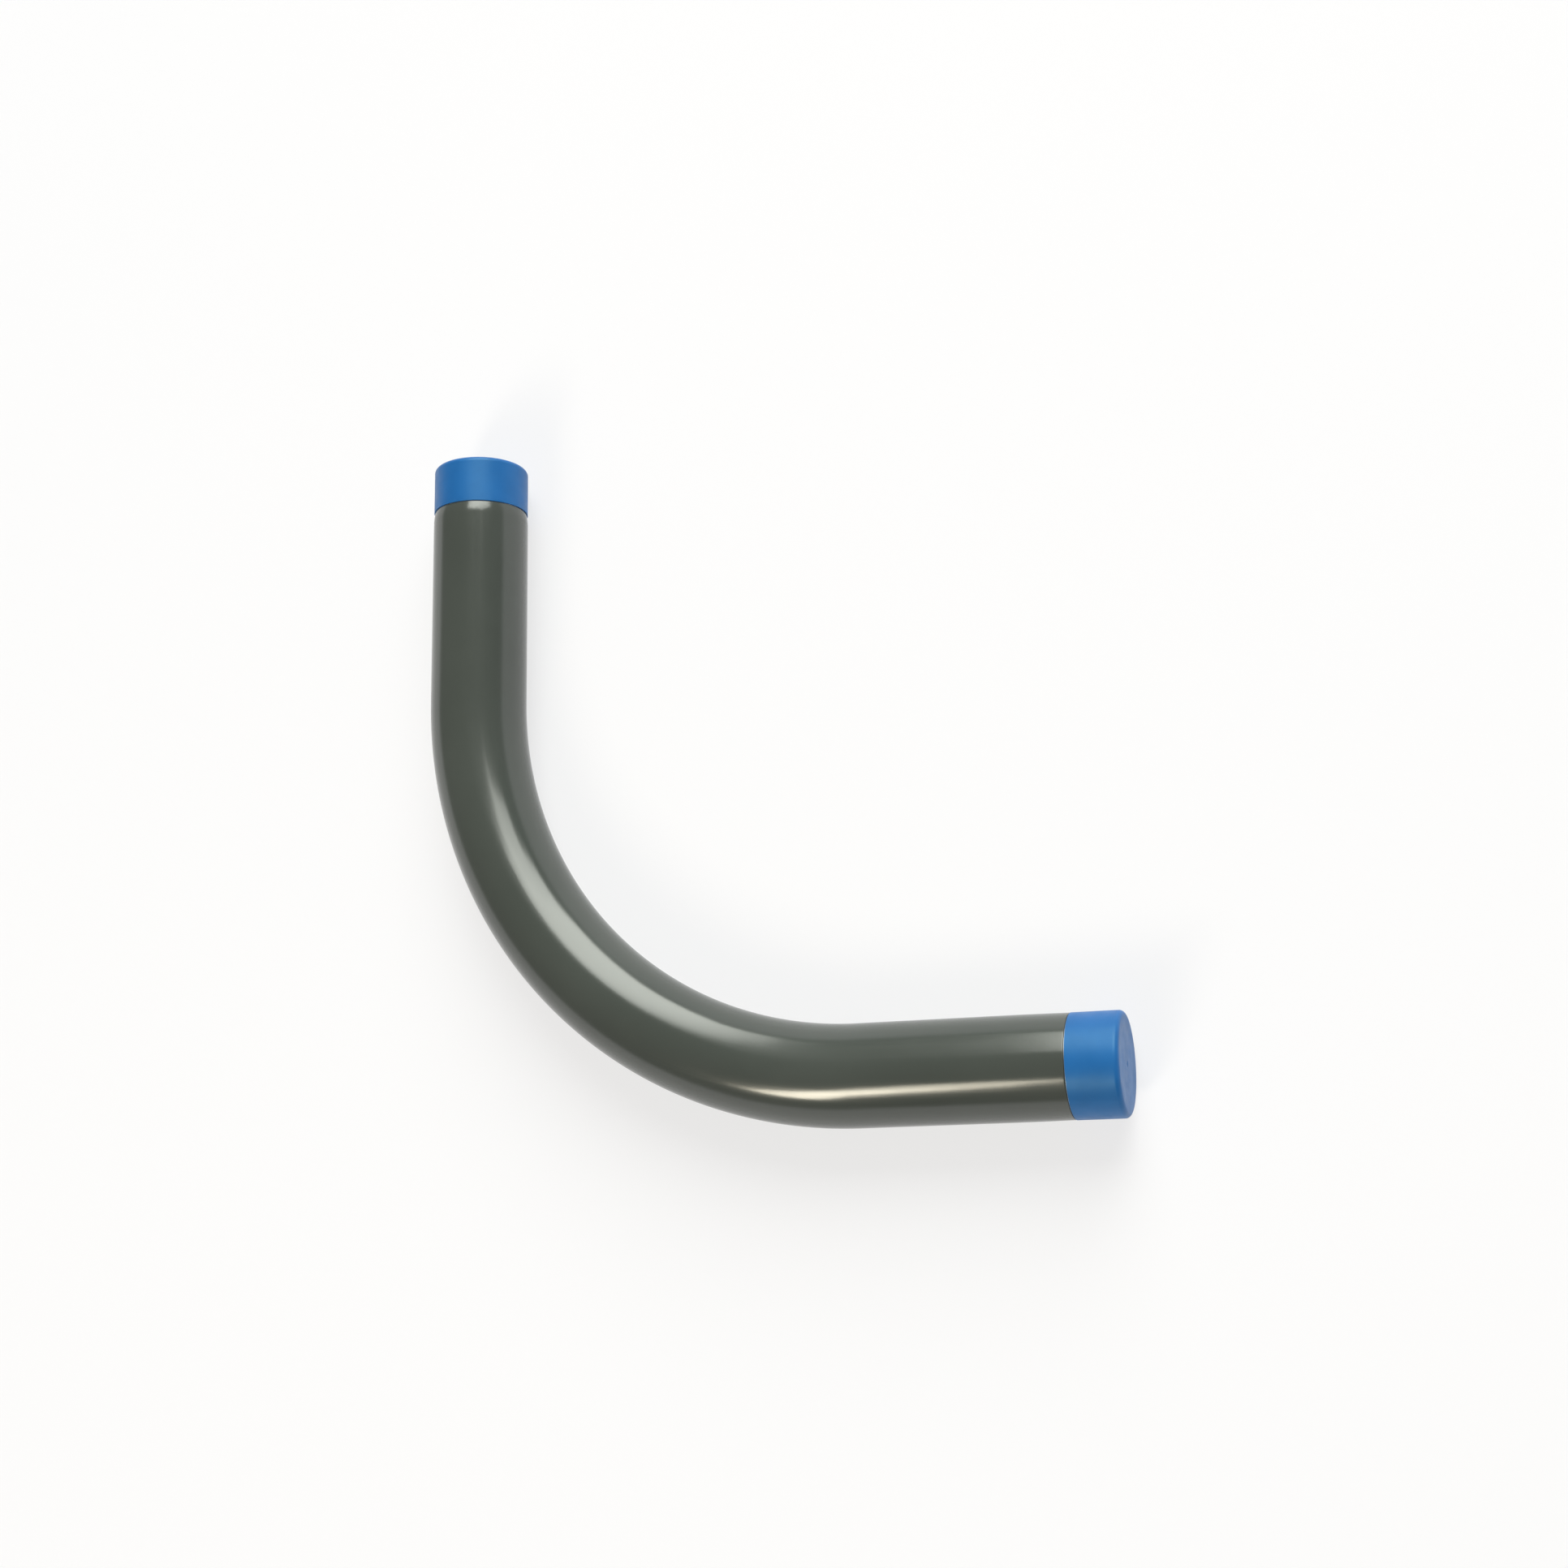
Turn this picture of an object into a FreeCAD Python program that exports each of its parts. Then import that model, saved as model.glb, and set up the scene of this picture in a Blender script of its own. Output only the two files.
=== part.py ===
"""A 90 degree elbow for two-inch steel conduit, lying on its side.

The steel pipe is bent cold to one radius, with a straight leg at each end. Each leg ends in the taper of a
pipe thread, turned to the thread's crests. A grey plastic coat is bonded to the outside and stops short of
the threads. A moulded blue cap is pushed over each thread: its wall is all but flush with the coat, and its
end wall lies against the end of the pipe.

The frame lies under the middle of the elbow's box, on the surface that the elbow lies on, with +Z up. One leg
points along +X and the other along +Y. All lengths are in millimetres.
"""
import FreeCAD
import Part
import os
from FreeCAD import Vector

INCH = 25.4

# Pipe
PIPE_OD = 60.325
PIPE_WALL = 3.71
BEND_RADIUS = 254.0
LEG_LENGTH = 159.4
PIPE_END_CHAMFER = 0.9

# Tapered pipe thread
THREADS_PER_INCH = 11.5
THREAD_TAPER_ON_DIAMETER = 1 / 16
THREAD_HEIGHT_IN_PITCHES = 0.76
VANISHING_THREADS = 3.47

# Coat
COAT_THICKNESS = 1.016
COAT_EDGE_CHAMFER = 0.5
BARE_PIPE_PAST_THREAD = 2.7

# Thread caps
CAP_WALL = 0.7
CAP_END_WALL = 1.6
CAP_CLEARANCE = 0.15
CAP_RIM_GAP = 0.3
CAP_EDGE_CHAMFER = 1.5

# What follows from the driving dimensions
PIPE_RADIUS = PIPE_OD / 2
BORE_RADIUS = PIPE_RADIUS - PIPE_WALL
COAT_RADIUS = PIPE_RADIUS + COAT_THICKNESS
CAP_BORE_RADIUS = PIPE_RADIUS + CAP_CLEARANCE
CAP_RADIUS = CAP_BORE_RADIUS + CAP_WALL

PITCH = INCH / THREADS_PER_INCH
RADIUS_PER_LENGTH = THREAD_TAPER_ON_DIAMETER / 2
# The standard's own formulas, for a pipe diameter in inches: pitch diameter at the end, and useful length.
PITCH_RADIUS_AT_END = (PIPE_OD - (0.05 * PIPE_OD / INCH + 1.1) * PITCH) / 2
USEFUL_THREAD_LENGTH = (0.8 * PIPE_OD / INCH + 6.8) * PITCH
THREAD_LENGTH = USEFUL_THREAD_LENGTH + VANISHING_THREADS * PITCH
CREST_RADIUS_AT_END = PITCH_RADIUS_AT_END + THREAD_HEIGHT_IN_PITCHES * PITCH / 2
CREST_CONE_LENGTH = (PIPE_RADIUS - CREST_RADIUS_AT_END) / RADIUS_PER_LENGTH

BARE_LENGTH = THREAD_LENGTH + BARE_PIPE_PAST_THREAD
COATED_LEG_LENGTH = LEG_LENGTH - BARE_LENGTH
CAPPED_LEG_LENGTH = LEG_LENGTH + CAP_END_WALL

# Where the two leg axes cross, so that the origin is under the middle of the elbow's box
REACH = BEND_RADIUS + CAPPED_LEG_LENGTH
CORNER_OFFSET = (REACH - COAT_RADIUS) / 2
CORNER = Vector(-CORNER_OFFSET, -CORNER_OFFSET, COAT_RADIUS)
BEND_CENTRE = CORNER + Vector(BEND_RADIUS, BEND_RADIUS, 0)
BEND_START = CORNER + Vector(0, BEND_RADIUS, 0)
PIPE_END_X = CORNER + Vector(BEND_RADIUS + LEG_LENGTH, 0, 0)

X_AXIS = Vector(1, 0, 0)
Y_AXIS = Vector(0, 1, 0)
Z_AXIS = Vector(0, 0, 1)


def swept_rod(radius, leg_length):
    """A round rod that follows the elbow's centreline: a leg, the bend and the other leg."""
    section = Part.Face(Part.Wire(Part.makeCircle(radius, BEND_START, Y_AXIS)))
    bend = section.revolve(BEND_CENTRE, Z_AXIS, 90)
    leg_y = section.extrude(Y_AXIS * leg_length)
    leg_x = Part.makeCylinder(radius, leg_length, CORNER + X_AXIS * BEND_RADIUS, X_AXIS)
    return bend.fuse([leg_y, leg_x]).removeSplitter()


def swept_tube(outer_radius, inner_radius, leg_length):
    return swept_rod(outer_radius, leg_length).cut(swept_rod(inner_radius, leg_length))


def revolved(points):
    """A solid of revolution about Z from a closed outline of (radius, height) points."""
    corners = [Vector(radius, 0, height) for radius, height in points]
    outline = Part.makePolygon(corners + corners[:1])
    return Part.Face(outline).revolve(Vector(0, 0, 0), Z_AXIS, 360)


def on_leg_x(shape):
    """Moves a shape from its own frame, with the pipe's end face at the origin and the pipe below it, to the
    leg that points along +X."""
    placed = shape.copy()
    placed.rotate(Vector(0, 0, 0), Y_AXIS, 90)
    placed.translate(PIPE_END_X)
    return placed


def on_leg_y(shape):
    """The same for the leg along +Y, by half a turn about the elbow's diagonal."""
    placed = on_leg_x(shape)
    placed.rotate(CORNER, X_AXIS + Y_AXIS, 180)
    return placed


def tapered_end():
    """The last stretch of the pipe, past the coat, with the thread's taper and the chamfer at its end."""
    return revolved([
        (BORE_RADIUS, 0),
        (CREST_RADIUS_AT_END - PIPE_END_CHAMFER, 0),
        (CREST_RADIUS_AT_END - PIPE_END_CHAMFER * RADIUS_PER_LENGTH, -PIPE_END_CHAMFER),
        (PIPE_RADIUS, -CREST_CONE_LENGTH),
        (PIPE_RADIUS, -BARE_LENGTH),
        (BORE_RADIUS, -BARE_LENGTH),
    ])


def steel_elbow():
    body = swept_tube(PIPE_RADIUS, BORE_RADIUS, COATED_LEG_LENGTH)
    end = tapered_end()
    return body.fuse([on_leg_x(end), on_leg_y(end)]).removeSplitter()


def same(a, b):
    return abs(a - b) < 1e-6


def circles_of(shape, radius):
    circles = [edge for edge in shape.Edges if isinstance(edge.Curve, Part.Circle)]
    return [edge for edge in circles if same(edge.Curve.Radius, radius)]


def plastic_coat():
    """The coat, with its outer edge broken where it stops at each end."""
    coat = swept_tube(COAT_RADIUS, PIPE_RADIUS, COATED_LEG_LENGTH)
    end_place = COATED_LEG_LENGTH + BEND_RADIUS - CORNER_OFFSET
    rims = [
        edge
        for edge in circles_of(coat, COAT_RADIUS)
        if same(max(edge.Curve.Center.x, edge.Curve.Center.y), end_place)
    ]
    return coat.makeChamfer(COAT_EDGE_CHAMFER, rims)


def thread_cap():
    """A moulded cap in the frame of the pipe's end: a straight cup, its closed end's outer edge chamfered."""
    rim = -BARE_LENGTH + CAP_RIM_GAP
    cap = revolved([
        (0, CAP_END_WALL),
        (CAP_RADIUS, CAP_END_WALL),
        (CAP_RADIUS, rim),
        (CAP_BORE_RADIUS, rim),
        (CAP_BORE_RADIUS, 0),
        (0, 0),
    ])
    end_edge = [edge for edge in circles_of(cap, CAP_RADIUS) if same(edge.Curve.Center.z, CAP_END_WALL)]
    return cap.makeChamfer(CAP_EDGE_CHAMFER, end_edge)


def main():
    cap = thread_cap()
    nodes = {
        "steel_elbow": steel_elbow(),
        "plastic_coat": plastic_coat(),
        "thread_cap_x": on_leg_x(cap),
        "thread_cap_y": on_leg_y(cap),
    }
    os.makedirs("parts", exist_ok=True)
    for name, shape in nodes.items():
        shape.exportStep(f"parts/{name}.step")
        print(f"{name}: {len(shape.Solids)} solid, valid {shape.isValid()}, {shape.Volume / 1000:.1f} cm3")


main()
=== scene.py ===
"""The looks of a plastic-coated steel conduit elbow with blue thread caps, lying on a pale floor.

The three kinds of piece are modelled again here with finer surfaces: the coat with its two thinned ends,
the steel pipe with the threads that its caps cover, and the caps with their rounded edges. Each is swept
along the elbow's centreline, so all of them share one description of the path.
"""
import math

import bmesh
import bpy
from mathutils import Matrix, Vector


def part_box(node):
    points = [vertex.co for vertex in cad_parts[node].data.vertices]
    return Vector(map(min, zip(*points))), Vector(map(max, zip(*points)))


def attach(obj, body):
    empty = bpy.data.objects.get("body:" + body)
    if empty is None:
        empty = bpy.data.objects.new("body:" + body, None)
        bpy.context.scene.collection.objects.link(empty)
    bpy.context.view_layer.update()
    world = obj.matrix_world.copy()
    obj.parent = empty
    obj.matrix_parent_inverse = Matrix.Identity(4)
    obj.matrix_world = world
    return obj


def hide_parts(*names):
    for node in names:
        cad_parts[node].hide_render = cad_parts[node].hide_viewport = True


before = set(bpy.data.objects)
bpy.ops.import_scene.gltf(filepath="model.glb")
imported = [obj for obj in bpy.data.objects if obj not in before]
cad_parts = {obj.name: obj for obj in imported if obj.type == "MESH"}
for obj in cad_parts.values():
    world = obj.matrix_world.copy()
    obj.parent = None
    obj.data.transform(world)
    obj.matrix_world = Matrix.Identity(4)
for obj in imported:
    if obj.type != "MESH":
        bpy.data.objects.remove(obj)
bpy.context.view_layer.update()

MM = 0.001
INCH = 25.4 * MM

# Sizes and places that the CAD nodes give
COAT_LOW, COAT_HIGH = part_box("plastic_coat")
STEEL_LOW, STEEL_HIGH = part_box("steel_elbow")
CAP_LOW, CAP_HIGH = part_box("thread_cap_x")
COAT_RADIUS = (COAT_HIGH.z - COAT_LOW.z) / 2
PIPE_RADIUS = (STEEL_HIGH.z - STEEL_LOW.z) / 2
CAP_RADIUS = (CAP_HIGH.z - CAP_LOW.z) / 2
LEG_AXIS = COAT_LOW.x + COAT_RADIUS

# Sizes that the boxes don't give, as in the part's source
BEND_RADIUS = 254.0 * MM
PIPE_WALL = 3.71 * MM
PIPE_END_CHAMFER = 0.9 * MM
CAP_WALL = 0.7 * MM
CAP_END_WALL = 1.6 * MM
THREAD_PITCH = INCH / 11.5
THREAD_HEIGHT = 0.76 * THREAD_PITCH
THREAD_ROOT_SHARE = 1 / 11
THREAD_TAPER = 1 / 32
FULL_THREADS = 8.7
VANISHING_THREADS = 3.47
THREAD_END_CREST = PIPE_RADIUS - 0.535 * MM

# Finer forms than the solids have
COAT_EDGE_ROUND = 0.6 * MM
COAT_SLOPE_LENGTH = 36.0 * MM
COAT_SLOPE_DROP = 0.3 * MM
COAT_TAPER_LENGTH = 7.5 * MM
COAT_TAPER_DROP = 0.78 * MM
COAT_TAPER_NOSE = 0.22 * MM
CAP_EDGE_ROUND = 3.2 * MM
CAP_INSIDE_ROUND = 1.4 * MM
CAP_RIM_ROUND = 0.2 * MM
CAP_DISH_DEPTH = 0.25 * MM
CAP_DISH_RADIUS = 26.0 * MM
GATE_RADIUS = 2.0 * MM
GATE_DEPTH = 0.2 * MM
GATE_SLOPE = 0.3 * MM
GATE_STUB_RADIUS = 0.7 * MM
GATE_STUB_SLOPE = 0.2 * MM
GATE_STUB_HEIGHT = 0.15 * MM

# How finely the pieces are divided
AROUND = 160
BEND_STEPS = 144
LEG_STEP = 6.0 * MM
TAPER_STEPS = 16
DISH_STEPS = 24
RINGS_PER_THREAD = 10
SHARP_ANGLE = 40
# The share of the coat's slope at which one more ring keeps the edge's shading narrow
LAST_SLOPE_RING = 0.985

BEND_CENTRE = Vector((LEG_AXIS + BEND_RADIUS, LEG_AXIS + BEND_RADIUS, COAT_RADIUS))
ARC_LENGTH = BEND_RADIUS * math.pi / 2
COAT_END = COAT_HIGH.x - BEND_CENTRE.x
PIPE_END = STEEL_HIGH.x - BEND_CENTRE.x
CAP_RIM = CAP_LOW.x - BEND_CENTRE.x
CAP_END = CAP_HIGH.x - BEND_CENTRE.x

# The camera, as it was fitted to the photograph, from the middle of the bend's arc
FRAME_PIXELS = 1932
FOCAL_PIXELS = 2662.0
SENSOR_MM = 36.0
CAMERA_FROM_BEND_CENTRE = Vector((368.98, -356.17, 1243.76)) * MM
CAMERA_ROTATION_VECTOR = Vector((-0.208686, -0.321057, 0.052265))


def srgb(red, green, blue):
    """A colour written as it looks on a screen, 0 to 255, as the linear values that a shader takes."""
    def linear(value):
        share = value / 255
        return share / 12.92 if share <= 0.04045 else ((share + 0.055) / 1.055) ** 2.4
    return linear(red), linear(green), linear(blue), 1.0


# The path: a distance of zero is where the bend leaves the leg along Y, which has the negative distances.

def on_leg_x(reach):
    """The distance along the path of a point that lies so far past the bend on the leg along X."""
    return ARC_LENGTH + reach


def on_leg_y(reach):
    return -reach


def path_frame(distance):
    """The centreline's point and the direction away from the middle of the bend."""
    if distance < 0:
        outward = Vector((-1, 0, 0))
        return BEND_CENTRE + outward * BEND_RADIUS + Vector((0, -distance, 0)), outward
    if distance > ARC_LENGTH:
        outward = Vector((0, -1, 0))
        return BEND_CENTRE + outward * BEND_RADIUS + Vector((distance - ARC_LENGTH, 0, 0)), outward
    angle = math.pi + distance / BEND_RADIUS
    outward = Vector((math.cos(angle), math.sin(angle), 0))
    return BEND_CENTRE + outward * BEND_RADIUS, outward


def ring_points(distance, radius_at):
    """One ring of points round the path. radius_at gives the radius at a turn from the top, in radians."""
    centre, outward = path_frame(distance)
    up = Vector((0, 0, 1))
    points = []
    for i in range(AROUND):
        turn = 2 * math.pi * i / AROUND
        points.append(centre + radius_at(turn) * (math.cos(turn) * up + math.sin(turn) * outward))
    return points


def swept_piece(name, profile, closed):
    """A solid from a profile of (distance, radius) rings along the path.

    A radius may be a number, zero for a point on the centreline, or a function of the turn round the path.
    A closed profile comes back to its start.
    """
    mesh = bpy.data.meshes.new(name)
    shape = bmesh.new()
    rings = []
    for distance, radius in profile:
        if radius == 0:
            rings.append([shape.verts.new(path_frame(distance)[0])])
        else:
            radius_at = radius if callable(radius) else (lambda turn, fixed=radius: fixed)
            rings.append([shape.verts.new(point) for point in ring_points(distance, radius_at)])
    uv_layer = shape.loops.layers.uv.new("along_and_around")
    pairs = list(zip(range(len(rings)), range(1, len(rings))))
    if closed:
        pairs.append((len(rings) - 1, 0))
    for a, b in pairs:
        for i in range(AROUND):
            j = (i + 1) % AROUND
            corners = [(a, i, i), (a, j, i + 1), (b, j, i + 1), (b, i, i)]
            corners = [(ring, k if len(rings[ring]) > 1 else 0, turn) for ring, k, turn in corners]
            distinct = []
            for corner in corners:
                if corner[:2] not in [other[:2] for other in distinct]:
                    distinct.append(corner)
            if len(distinct) < 3:
                continue
            face = shape.faces.new([rings[ring][k] for ring, k, turn in distinct])
            face.smooth = True
            for loop, (ring, k, turn) in zip(face.loops, distinct):
                loop[uv_layer].uv = (profile[ring][0], 2 * math.pi * COAT_RADIUS * turn / AROUND)
    bmesh.ops.recalc_face_normals(shape, faces=shape.faces[:])
    shape.to_mesh(mesh)
    shape.free()
    mesh.set_sharp_from_angle(angle=math.radians(SHARP_ANGLE))
    piece = bpy.data.objects.new(name, mesh)
    bpy.context.scene.collection.objects.link(piece)
    return piece


def quarter_round(distance, radius, size, start, steps=8):
    """Rings on a quarter circle of a profile.

    distance and radius give its middle, and size its radius along each of the two, with its sign. start
    says whether it starts at its far point along the distance.
    """
    rings = []
    for i in range(steps + 1):
        angle = math.pi / 2 * i / steps
        along, across = (math.cos(angle), math.sin(angle)) if start else (math.sin(angle), math.cos(angle))
        rings.append((distance + size[0] * along, radius + size[1] * across))
    return rings


def spaced(start, end, step):
    count = max(1, round(abs(end - start) / step))
    return [start + (end - start) * i / count for i in range(count + 1)]


def centreline_distances(reach_y, reach_x, coarseness=1):
    """Distances all along the path, from one leg's reach to the other's, closer together in the bend."""
    leg_step = LEG_STEP * coarseness
    leg_y = spaced(on_leg_y(reach_y), 0, leg_step)
    bend = spaced(0, ARC_LENGTH, ARC_LENGTH / BEND_STEPS * coarseness)
    leg_x = spaced(ARC_LENGTH, on_leg_x(reach_x), leg_step)
    return leg_y + bend[1:] + leg_x[1:]


def make_coat():
    """The coat: its outer skin, and its inside against the pipe.

    On the leg along X it falls gently to a rounded edge. On the leg along Y it thins out close to its end.
    """
    flat_x = COAT_END - COAT_EDGE_ROUND - COAT_SLOPE_LENGTH
    flat_y = COAT_END - COAT_TAPER_NOSE - COAT_TAPER_LENGTH
    outer = [(distance, COAT_RADIUS) for distance in centreline_distances(flat_y, flat_x)]
    slope_x = []
    for share in [i / TAPER_STEPS for i in range(1, TAPER_STEPS)] + [LAST_SLOPE_RING]:
        radius = COAT_RADIUS - share ** 2 * COAT_SLOPE_DROP
        slope_x.append((on_leg_x(flat_x + share * COAT_SLOPE_LENGTH), radius))
    end_x = quarter_round(
        on_leg_x(COAT_END - COAT_EDGE_ROUND),
        COAT_RADIUS - COAT_SLOPE_DROP - COAT_EDGE_ROUND,
        (COAT_EDGE_ROUND, COAT_EDGE_ROUND),
        start=False,
    )
    inner = [(distance, PIPE_RADIUS) for distance in reversed(centreline_distances(COAT_END, COAT_END))]
    end_y = quarter_round(
        on_leg_y(COAT_END - COAT_TAPER_NOSE),
        COAT_RADIUS - COAT_TAPER_DROP - COAT_TAPER_NOSE,
        (-COAT_TAPER_NOSE, COAT_TAPER_NOSE),
        start=True,
    )
    for i in range(1, TAPER_STEPS):
        share = 1 - i / TAPER_STEPS
        radius = COAT_RADIUS - share ** 2 * COAT_TAPER_DROP
        end_y.append((on_leg_y(flat_y + share * COAT_TAPER_LENGTH), radius))
    return swept_piece("coat_surface", outer + slope_x + end_x + inner + end_y, closed=True)


def thread_depth(depth_from_end, turn):
    """How far the thread's groove lies under the crests, on a right-hand helix that fades past the full
    threads."""
    run = depth_from_end / THREAD_PITCH
    fade = min(1.0, max(0.0, (FULL_THREADS + VANISHING_THREADS - run) / VANISHING_THREADS))
    from_root = abs((run + turn / (2 * math.pi)) % 1.0 - 0.5) * 2
    flank = min(1.0, max(0.0, (from_root - THREAD_ROOT_SHARE) / (1 - THREAD_ROOT_SHARE)))
    return THREAD_HEIGHT * (1 - flank) * fade


def threaded_rings(place, hand):
    """Rings from the pipe's end to past its thread. place gives a ring's distance along the path."""
    bore_edge = (place(PIPE_END), PIPE_RADIUS - PIPE_WALL)
    end_face_edge = (place(PIPE_END), THREAD_END_CREST - THREAD_HEIGHT)
    rings = [bore_edge, end_face_edge]
    depth = 0.0
    length = (FULL_THREADS + VANISHING_THREADS) * THREAD_PITCH
    while depth <= length:
        def radius_at(turn, depth=depth):
            crest = min(PIPE_RADIUS, THREAD_END_CREST + THREAD_TAPER * depth)
            chamfer = THREAD_END_CREST - PIPE_END_CHAMFER + depth
            return min(crest - thread_depth(depth, hand * turn), chamfer)
        rings.append((place(PIPE_END - depth), radius_at))
        depth += THREAD_PITCH / RINGS_PER_THREAD
    return rings


def make_pipe():
    """The steel pipe with both of its threads and its bore."""
    # The plain pipe starts half a pitch past the last trace of a thread.
    plain = PIPE_END - (FULL_THREADS + VANISHING_THREADS + 0.5) * THREAD_PITCH
    end_y = threaded_rings(on_leg_y, -1)
    end_x = threaded_rings(on_leg_x, 1)
    outer = [(distance, PIPE_RADIUS) for distance in centreline_distances(plain, plain)]
    bore_distances = centreline_distances(PIPE_END, PIPE_END, coarseness=2)
    bore = [(distance, PIPE_RADIUS - PIPE_WALL) for distance in reversed(bore_distances)]
    return swept_piece("steel_pipe", end_y + outer + list(reversed(end_x)) + bore[1:-1], closed=True)


def make_cap(name, place):
    """A moulded cup: a thin wall, a rounded edge, and a slightly dished end face with its gate mark."""
    direction = 1 if place(CAP_END) > place(CAP_RIM) else -1
    bore = CAP_RADIUS - CAP_WALL
    floor = CAP_END - CAP_END_WALL
    profile = [(place(floor), 0)]
    profile += quarter_round(
        place(floor - CAP_INSIDE_ROUND),
        bore - CAP_INSIDE_ROUND,
        (direction * CAP_INSIDE_ROUND, CAP_INSIDE_ROUND),
        start=True,
    )
    inside = spaced(floor - 2 * CAP_INSIDE_ROUND, CAP_RIM, LEG_STEP)
    profile += [(place(reach), bore) for reach in inside]
    profile += quarter_round(
        place(CAP_RIM + CAP_RIM_ROUND),
        CAP_RADIUS - CAP_RIM_ROUND,
        (-direction * CAP_RIM_ROUND, CAP_RIM_ROUND),
        start=True,
        steps=4,
    )
    # The straight wall has a ring close to each round, so that its shading stays flat.
    outside = spaced(CAP_RIM + 2 * CAP_RIM_ROUND, CAP_END - 1.2 * CAP_EDGE_ROUND, LEG_STEP / 3)
    profile += [(place(reach), CAP_RADIUS) for reach in outside]
    profile += quarter_round(
        place(CAP_END - CAP_EDGE_ROUND),
        CAP_RADIUS - CAP_EDGE_ROUND,
        (direction * CAP_EDGE_ROUND, CAP_EDGE_ROUND),
        start=False,
        steps=14,
    )
    # The dish falls in a half wave over its outer third, and is flat from there to the gate.
    for i in range(DISH_STEPS + 1):
        radius = CAP_DISH_RADIUS + (GATE_RADIUS - CAP_DISH_RADIUS) * i / DISH_STEPS
        fall = (1 - math.cos(math.pi * min(1.0, 3 * i / DISH_STEPS))) / 2
        profile.append((place(CAP_END - fall * CAP_DISH_DEPTH), radius))
    dish = CAP_END - CAP_DISH_DEPTH
    gate_floor = dish - GATE_DEPTH
    profile += [
        (place(dish - GATE_DEPTH / 2), GATE_RADIUS - GATE_SLOPE / 2),
        (place(gate_floor), GATE_RADIUS - GATE_SLOPE),
        (place(gate_floor), GATE_STUB_RADIUS + GATE_STUB_SLOPE),
        (place(gate_floor + GATE_STUB_HEIGHT), GATE_STUB_RADIUS),
        (place(gate_floor + GATE_STUB_HEIGHT), 0),
    ]
    return swept_piece(name, profile, closed=False)


# Materials

def new_material(name, colour, roughness, ior):
    material = bpy.data.materials.new(name)
    material.use_nodes = True
    shader = material.node_tree.nodes["Principled BSDF"]
    shader.inputs["Base Color"].default_value = colour
    shader.inputs["Roughness"].default_value = roughness
    shader.inputs["IOR"].default_value = ior
    return material, shader


def noise(material, coordinates, scale, detail, roughness=0.5):
    """A noise texture in the object's own metres, or along and around the tube."""
    nodes, links = material.node_tree.nodes, material.node_tree.links
    source = nodes.new("ShaderNodeTexCoord")
    mapping = nodes.new("ShaderNodeMapping")
    mapping.inputs["Scale"].default_value = scale
    texture = nodes.new("ShaderNodeTexNoise")
    texture.inputs["Scale"].default_value = 1.0
    texture.inputs["Detail"].default_value = detail
    texture.inputs["Roughness"].default_value = roughness
    links.new(source.outputs[coordinates], mapping.inputs["Vector"])
    links.new(mapping.outputs["Vector"], texture.inputs["Vector"])
    return texture.outputs["Fac"]


def spread(material, value, low, high, start=0.3, end=0.7):
    """Maps a noise's value to a range."""
    node = material.node_tree.nodes.new("ShaderNodeMapRange")
    node.inputs["From Min"].default_value = start
    node.inputs["From Max"].default_value = end
    node.inputs["To Min"].default_value = low
    node.inputs["To Max"].default_value = high
    material.node_tree.links.new(value, node.inputs["Value"])
    return node.outputs["Result"]


def blend_colour(material, share, first, second):
    node = material.node_tree.nodes.new("ShaderNodeMix")
    node.data_type = "RGBA"
    node.inputs["A"].default_value = first
    node.inputs["B"].default_value = second
    material.node_tree.links.new(share, node.inputs["Factor"])
    return node.outputs["Result"]


def add_bump(material, height, distance, under=None):
    node = material.node_tree.nodes.new("ShaderNodeBump")
    node.inputs["Distance"].default_value = distance
    material.node_tree.links.new(height, node.inputs["Height"])
    if under is not None:
        material.node_tree.links.new(under, node.inputs["Normal"])
    return node.outputs["Normal"]


def math_node(material, operation, first, second):
    node = material.node_tree.nodes.new("ShaderNodeMath")
    node.operation = operation
    material.node_tree.links.new(first, node.inputs[0])
    material.node_tree.links.new(second, node.inputs[1])
    return node.outputs["Value"]


def same_scale(features_per_metre):
    return (features_per_metre,) * 3


def coat_material():
    """A bonded coat of grey plastic.

    It has a slight orange peel, soft waves, faint marks along the tube, and a little unevenness in its
    colour and gloss.
    """
    material, shader = new_material("grey_plastic_coat", srgb(67, 72, 67), 0.18, 1.6)
    links = material.node_tree.links
    mottle = spread(material, noise(material, "Object", same_scale(14), 3), 0, 1)
    colour = blend_colour(material, mottle, srgb(64, 69, 65), srgb(69, 74, 70))
    links.new(colour, shader.inputs["Base Color"])
    marks = noise(material, "UV", (18, 900, 1), 2)
    links.new(spread(material, marks, 0.16, 0.2), shader.inputs["Roughness"])
    waves = add_bump(material, noise(material, "Object", same_scale(30), 1), 0.12 * MM)
    peel = add_bump(material, noise(material, "Object", same_scale(420), 2), 0.012 * MM, under=waves)
    links.new(peel, shader.inputs["Normal"])
    return material


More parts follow.
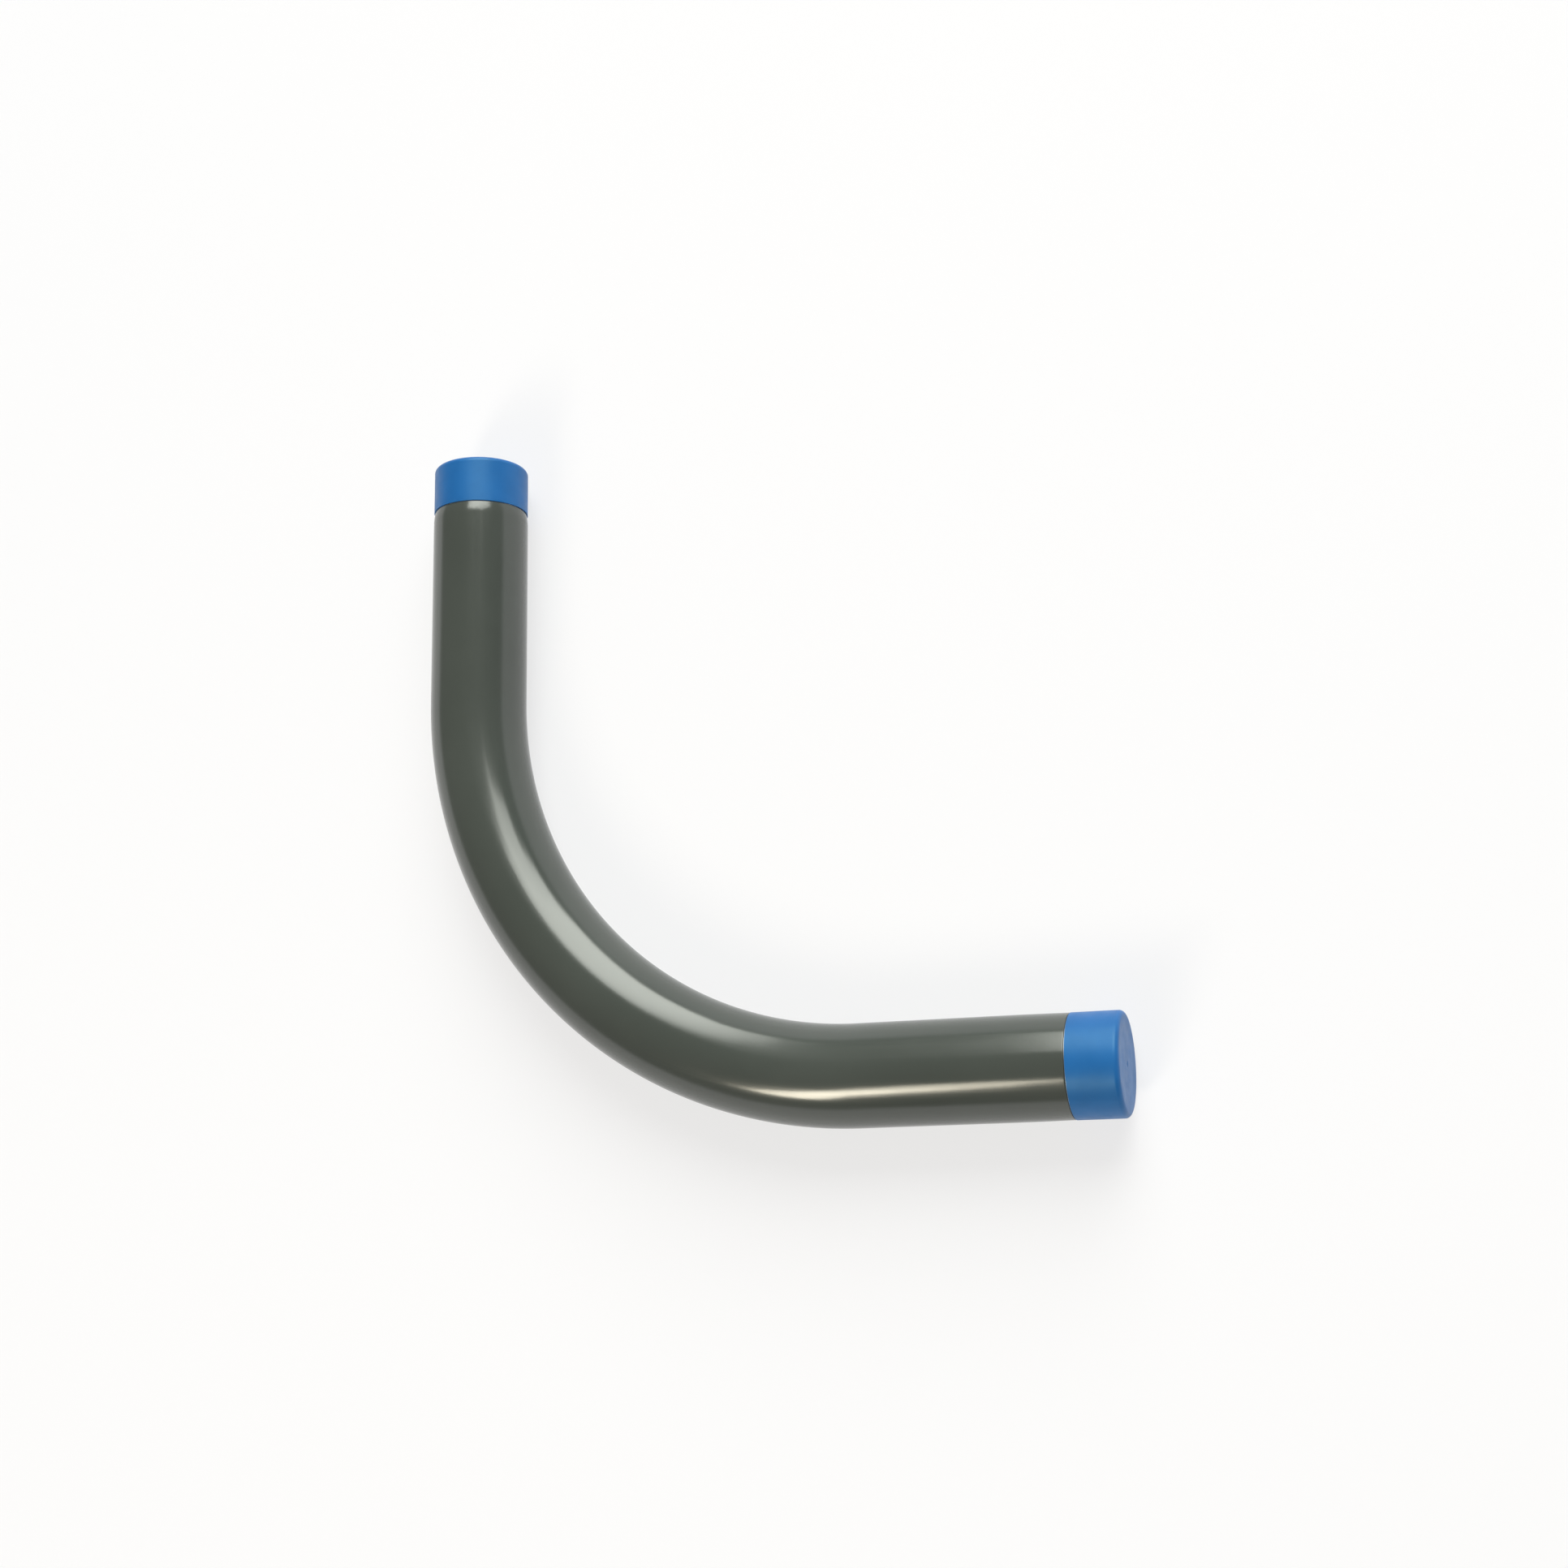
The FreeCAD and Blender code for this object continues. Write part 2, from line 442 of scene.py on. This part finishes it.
def cap_material():
    """Moulded polyethylene: satin, a little uneven, with a fine grain."""
    material, shader = new_material("blue_moulded_plastic", srgb(29, 96, 163), 0.42, 1.45)
    shader.inputs["Specular Tint"].default_value = (0.6, 1.0, 1.0, 1.0)
    links = material.node_tree.links
    mottle = spread(material, noise(material, "Object", same_scale(60), 3), 0, 1)
    colour = blend_colour(material, mottle, srgb(27, 93, 159), srgb(32, 99, 167))
    links.new(colour, shader.inputs["Base Color"])
    dulling = spread(material, noise(material, "Object", same_scale(160), 3), 0.38, 0.46)
    links.new(dulling, shader.inputs["Roughness"])
    waves = add_bump(material, noise(material, "Object", same_scale(70), 1), 0.1 * MM)
    grain = add_bump(material, noise(material, "Object", same_scale(1500), 2), 0.006 * MM, under=waves)
    links.new(grain, shader.inputs["Normal"])
    return material


def steel_material():
    """Zinc on steel: patchy grey, with soft spangle."""
    material, shader = new_material("galvanised_steel", srgb(176, 180, 184), 0.42, 1.5)
    shader.inputs["Metallic"].default_value = 1.0
    links = material.node_tree.links
    spangle = spread(material, noise(material, "Object", same_scale(120), 4), 0, 1)
    colour = blend_colour(material, spangle, srgb(158, 163, 168), srgb(194, 198, 201))
    links.new(colour, shader.inputs["Base Color"])
    dulling = spread(material, noise(material, "Object", same_scale(90), 2), 0.34, 0.5)
    links.new(dulling, shader.inputs["Roughness"])
    return material


# Light, floor and camera

# Each window has a colour, a distance in metres, a lean in degrees, and strips side by side or one above
# the other. A strip has its azimuths and elevations in degrees, and its strength.
DAYLIGHT = (0.97, 1.0, 0.925)
DAYLIGHT_DISTANCE = 5.0
DAYLIGHT_LEAN = -5.0
DAYLIGHT_STRIPS = {
    "window_edge": ((98, 101.6), (14.5, 61.5), 4.5),
    "window_near": ((92, 98), (14.5, 61.5), 6.2),
    "window_main": ((66.5, 92), (14.5, 61.5), 7.8),
    "window_middle": ((55, 66.7), (21, 57.5), 7.0),
    "window_far": ((44.5, 55), (31, 55), 5.6),
}
WARM_LIGHT = (1.0, 0.92, 0.74)
WARM_DISTANCE = 2.5
WARM_LEAN = -14.0
WARM_STRIPS = {
    "warm_window_low": ((234, 247.6), (31.5, 48.4), 21.5),
    "warm_window_high": ((240.8, 254.4), (48, 57.5), 11.5),
}
# The world fades from white to its top's strength between two elevations in degrees
WORLD_FADE = (3, 12)
WORLD_TOP_STRENGTH = 0.2
# How much of the floor's look is plain white, and the distances in metres between which that grows to all
FLOOR_WHITE_SHARE = 0.68
FLOOR_FADE = (0.6, 2.4)
FLOOR_HALF_WIDTH = 12.0


def window_strip(name, seen_from, distance, azimuths, elevations, strength, colour, lean):
    """A standing lamp that fills a range of azimuths and elevations, in degrees, as seen from a point.

    A lean below zero tilts its top towards larger azimuths.
    """
    low, high = (distance * math.tan(math.radians(angle)) for angle in elevations)
    azimuth = math.radians(sum(azimuths) / 2)
    toward = Vector((math.cos(azimuth), math.sin(azimuth), 0))
    data = bpy.data.lights.new(name, "AREA")
    data.shape = "RECTANGLE"
    data.size = 2 * distance * math.tan(math.radians(azimuths[1] - azimuths[0]) / 2)
    data.size_y = high - low
    # A lamp's radiance is its power over pi and its area.
    data.energy = strength * math.pi * data.size * data.size_y
    data.color = colour
    light = bpy.data.objects.new(name, data)
    place = Matrix.Translation(seen_from + toward * distance + Vector((0, 0, (low + high) / 2)))
    upright = toward.to_track_quat("Z", "Y").to_matrix().to_4x4()
    light.matrix_world = place @ upright @ Matrix.Rotation(math.radians(lean), 4, "Z")
    bpy.context.scene.collection.objects.link(light)


def light_the_scene():
    """A broad window, lower and softer at its ends, and a narrow, warmer one across from it."""
    middle_of_bend = BEND_CENTRE - Vector((1, 1, 0)) * BEND_RADIUS * math.sqrt(0.5)
    middle_of_leg = BEND_CENTRE + Vector((COAT_END / 2, -BEND_RADIUS, 0))
    for name, strip in DAYLIGHT_STRIPS.items():
        window_strip(name, middle_of_bend, DAYLIGHT_DISTANCE, *strip, DAYLIGHT, DAYLIGHT_LEAN)
    for name, strip in WARM_STRIPS.items():
        window_strip(name, middle_of_leg, WARM_DISTANCE, *strip, WARM_LIGHT, WARM_LEAN)


def make_world():
    """A studio that is white near the horizon and dim above, the same for every ray."""
    world = bpy.data.worlds.new("studio")
    bpy.context.scene.world = world
    world.use_nodes = True
    nodes, links = world.node_tree.nodes, world.node_tree.links
    coordinates = nodes.new("ShaderNodeTexCoord")
    split = nodes.new("ShaderNodeSeparateXYZ")
    rise = nodes.new("ShaderNodeMapRange")
    rise.interpolation_type = "SMOOTHSTEP"
    rise.inputs["From Min"].default_value = math.sin(math.radians(WORLD_FADE[0]))
    rise.inputs["From Max"].default_value = math.sin(math.radians(WORLD_FADE[1]))
    rise.inputs["To Min"].default_value = 1.0
    rise.inputs["To Max"].default_value = WORLD_TOP_STRENGTH
    links.new(coordinates.outputs["Generated"], split.inputs["Vector"])
    links.new(split.outputs["Z"], rise.inputs["Value"])
    links.new(rise.outputs["Result"], nodes["Background"].inputs["Strength"])
    nodes["Background"].inputs["Color"].default_value = (1.0, 1.0, 1.0, 1.0)


def make_floor():
    """A pale floor that is all but white to the camera and in reflections, and keeps a soft shadow.

    Far from the elbow it fades to plain white, so that it shows no far edge.
    """
    half = FLOOR_HALF_WIDTH
    corners = [(-half, -half, 0), (half, -half, 0), (half, half, 0), (-half, half, 0)]
    mesh = bpy.data.meshes.new("floor")
    mesh.from_pydata(corners, [], [(0, 1, 2, 3)])
    floor = bpy.data.objects.new("floor", mesh)
    bpy.context.scene.collection.objects.link(floor)
    material, shader = new_material("pale_floor", (0.81, 0.8, 0.85, 1.0), 0.9, 1.3)
    nodes, links = material.node_tree.nodes, material.node_tree.links
    rays = nodes.new("ShaderNodeLightPath").outputs
    seen = math_node(material, "MAXIMUM", rays["Is Camera Ray"], rays["Is Glossy Ray"])
    seen_or_through = math_node(material, "MAXIMUM", seen, rays["Is Transmission Ray"])
    coordinates = nodes.new("ShaderNodeTexCoord")
    distance = nodes.new("ShaderNodeVectorMath")
    distance.operation = "LENGTH"
    links.new(coordinates.outputs["Object"], distance.inputs[0])
    fade = nodes.new("ShaderNodeMapRange")
    fade.interpolation_type = "SMOOTHSTEP"
    fade.inputs["From Min"].default_value = FLOOR_FADE[0]
    fade.inputs["From Max"].default_value = FLOOR_FADE[1]
    fade.inputs["To Min"].default_value = FLOOR_WHITE_SHARE
    fade.inputs["To Max"].default_value = 1.0
    links.new(distance.outputs["Value"], fade.inputs["Value"])
    share = math_node(material, "MULTIPLY", seen_or_through, fade.outputs["Result"])
    white = nodes.new("ShaderNodeEmission")
    mix = nodes.new("ShaderNodeMixShader")
    links.new(share, mix.inputs["Fac"])
    links.new(shader.outputs["BSDF"], mix.inputs[1])
    links.new(white.outputs["Emission"], mix.inputs[2])
    links.new(mix.outputs["Shader"], nodes["Material Output"].inputs["Surface"])
    mesh.materials.append(material)


def place_camera():
    data = bpy.data.cameras.new("camera")
    data.sensor_fit = "HORIZONTAL"
    data.sensor_width = SENSOR_MM
    data.lens = SENSOR_MM * FOCAL_PIXELS / FRAME_PIXELS
    camera = bpy.data.objects.new("camera", data)
    turn = Matrix.Rotation(CAMERA_ROTATION_VECTOR.length, 4, CAMERA_ROTATION_VECTOR.normalized())
    camera.matrix_world = Matrix.Translation(BEND_CENTRE + CAMERA_FROM_BEND_CENTRE) @ turn.transposed()
    bpy.context.scene.collection.objects.link(camera)
    bpy.context.scene.camera = camera


def dress(piece, node, material):
    """Puts a piece in the place of a CAD node, with its material."""
    piece.data.materials.append(material)
    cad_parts[node].data.materials.clear()
    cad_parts[node].data.materials.append(material)
    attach(piece, "root")
    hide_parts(node)


place_camera()
light_the_scene()
make_world()
make_floor()

dress(make_coat(), "plastic_coat", coat_material())
dress(make_pipe(), "steel_elbow", steel_material())
blue = cap_material()
dress(make_cap("cap_along_x", on_leg_x), "thread_cap_x", blue)
dress(make_cap("cap_along_y", on_leg_y), "thread_cap_y", blue)

bpy.context.scene.view_settings.view_transform = "Standard"
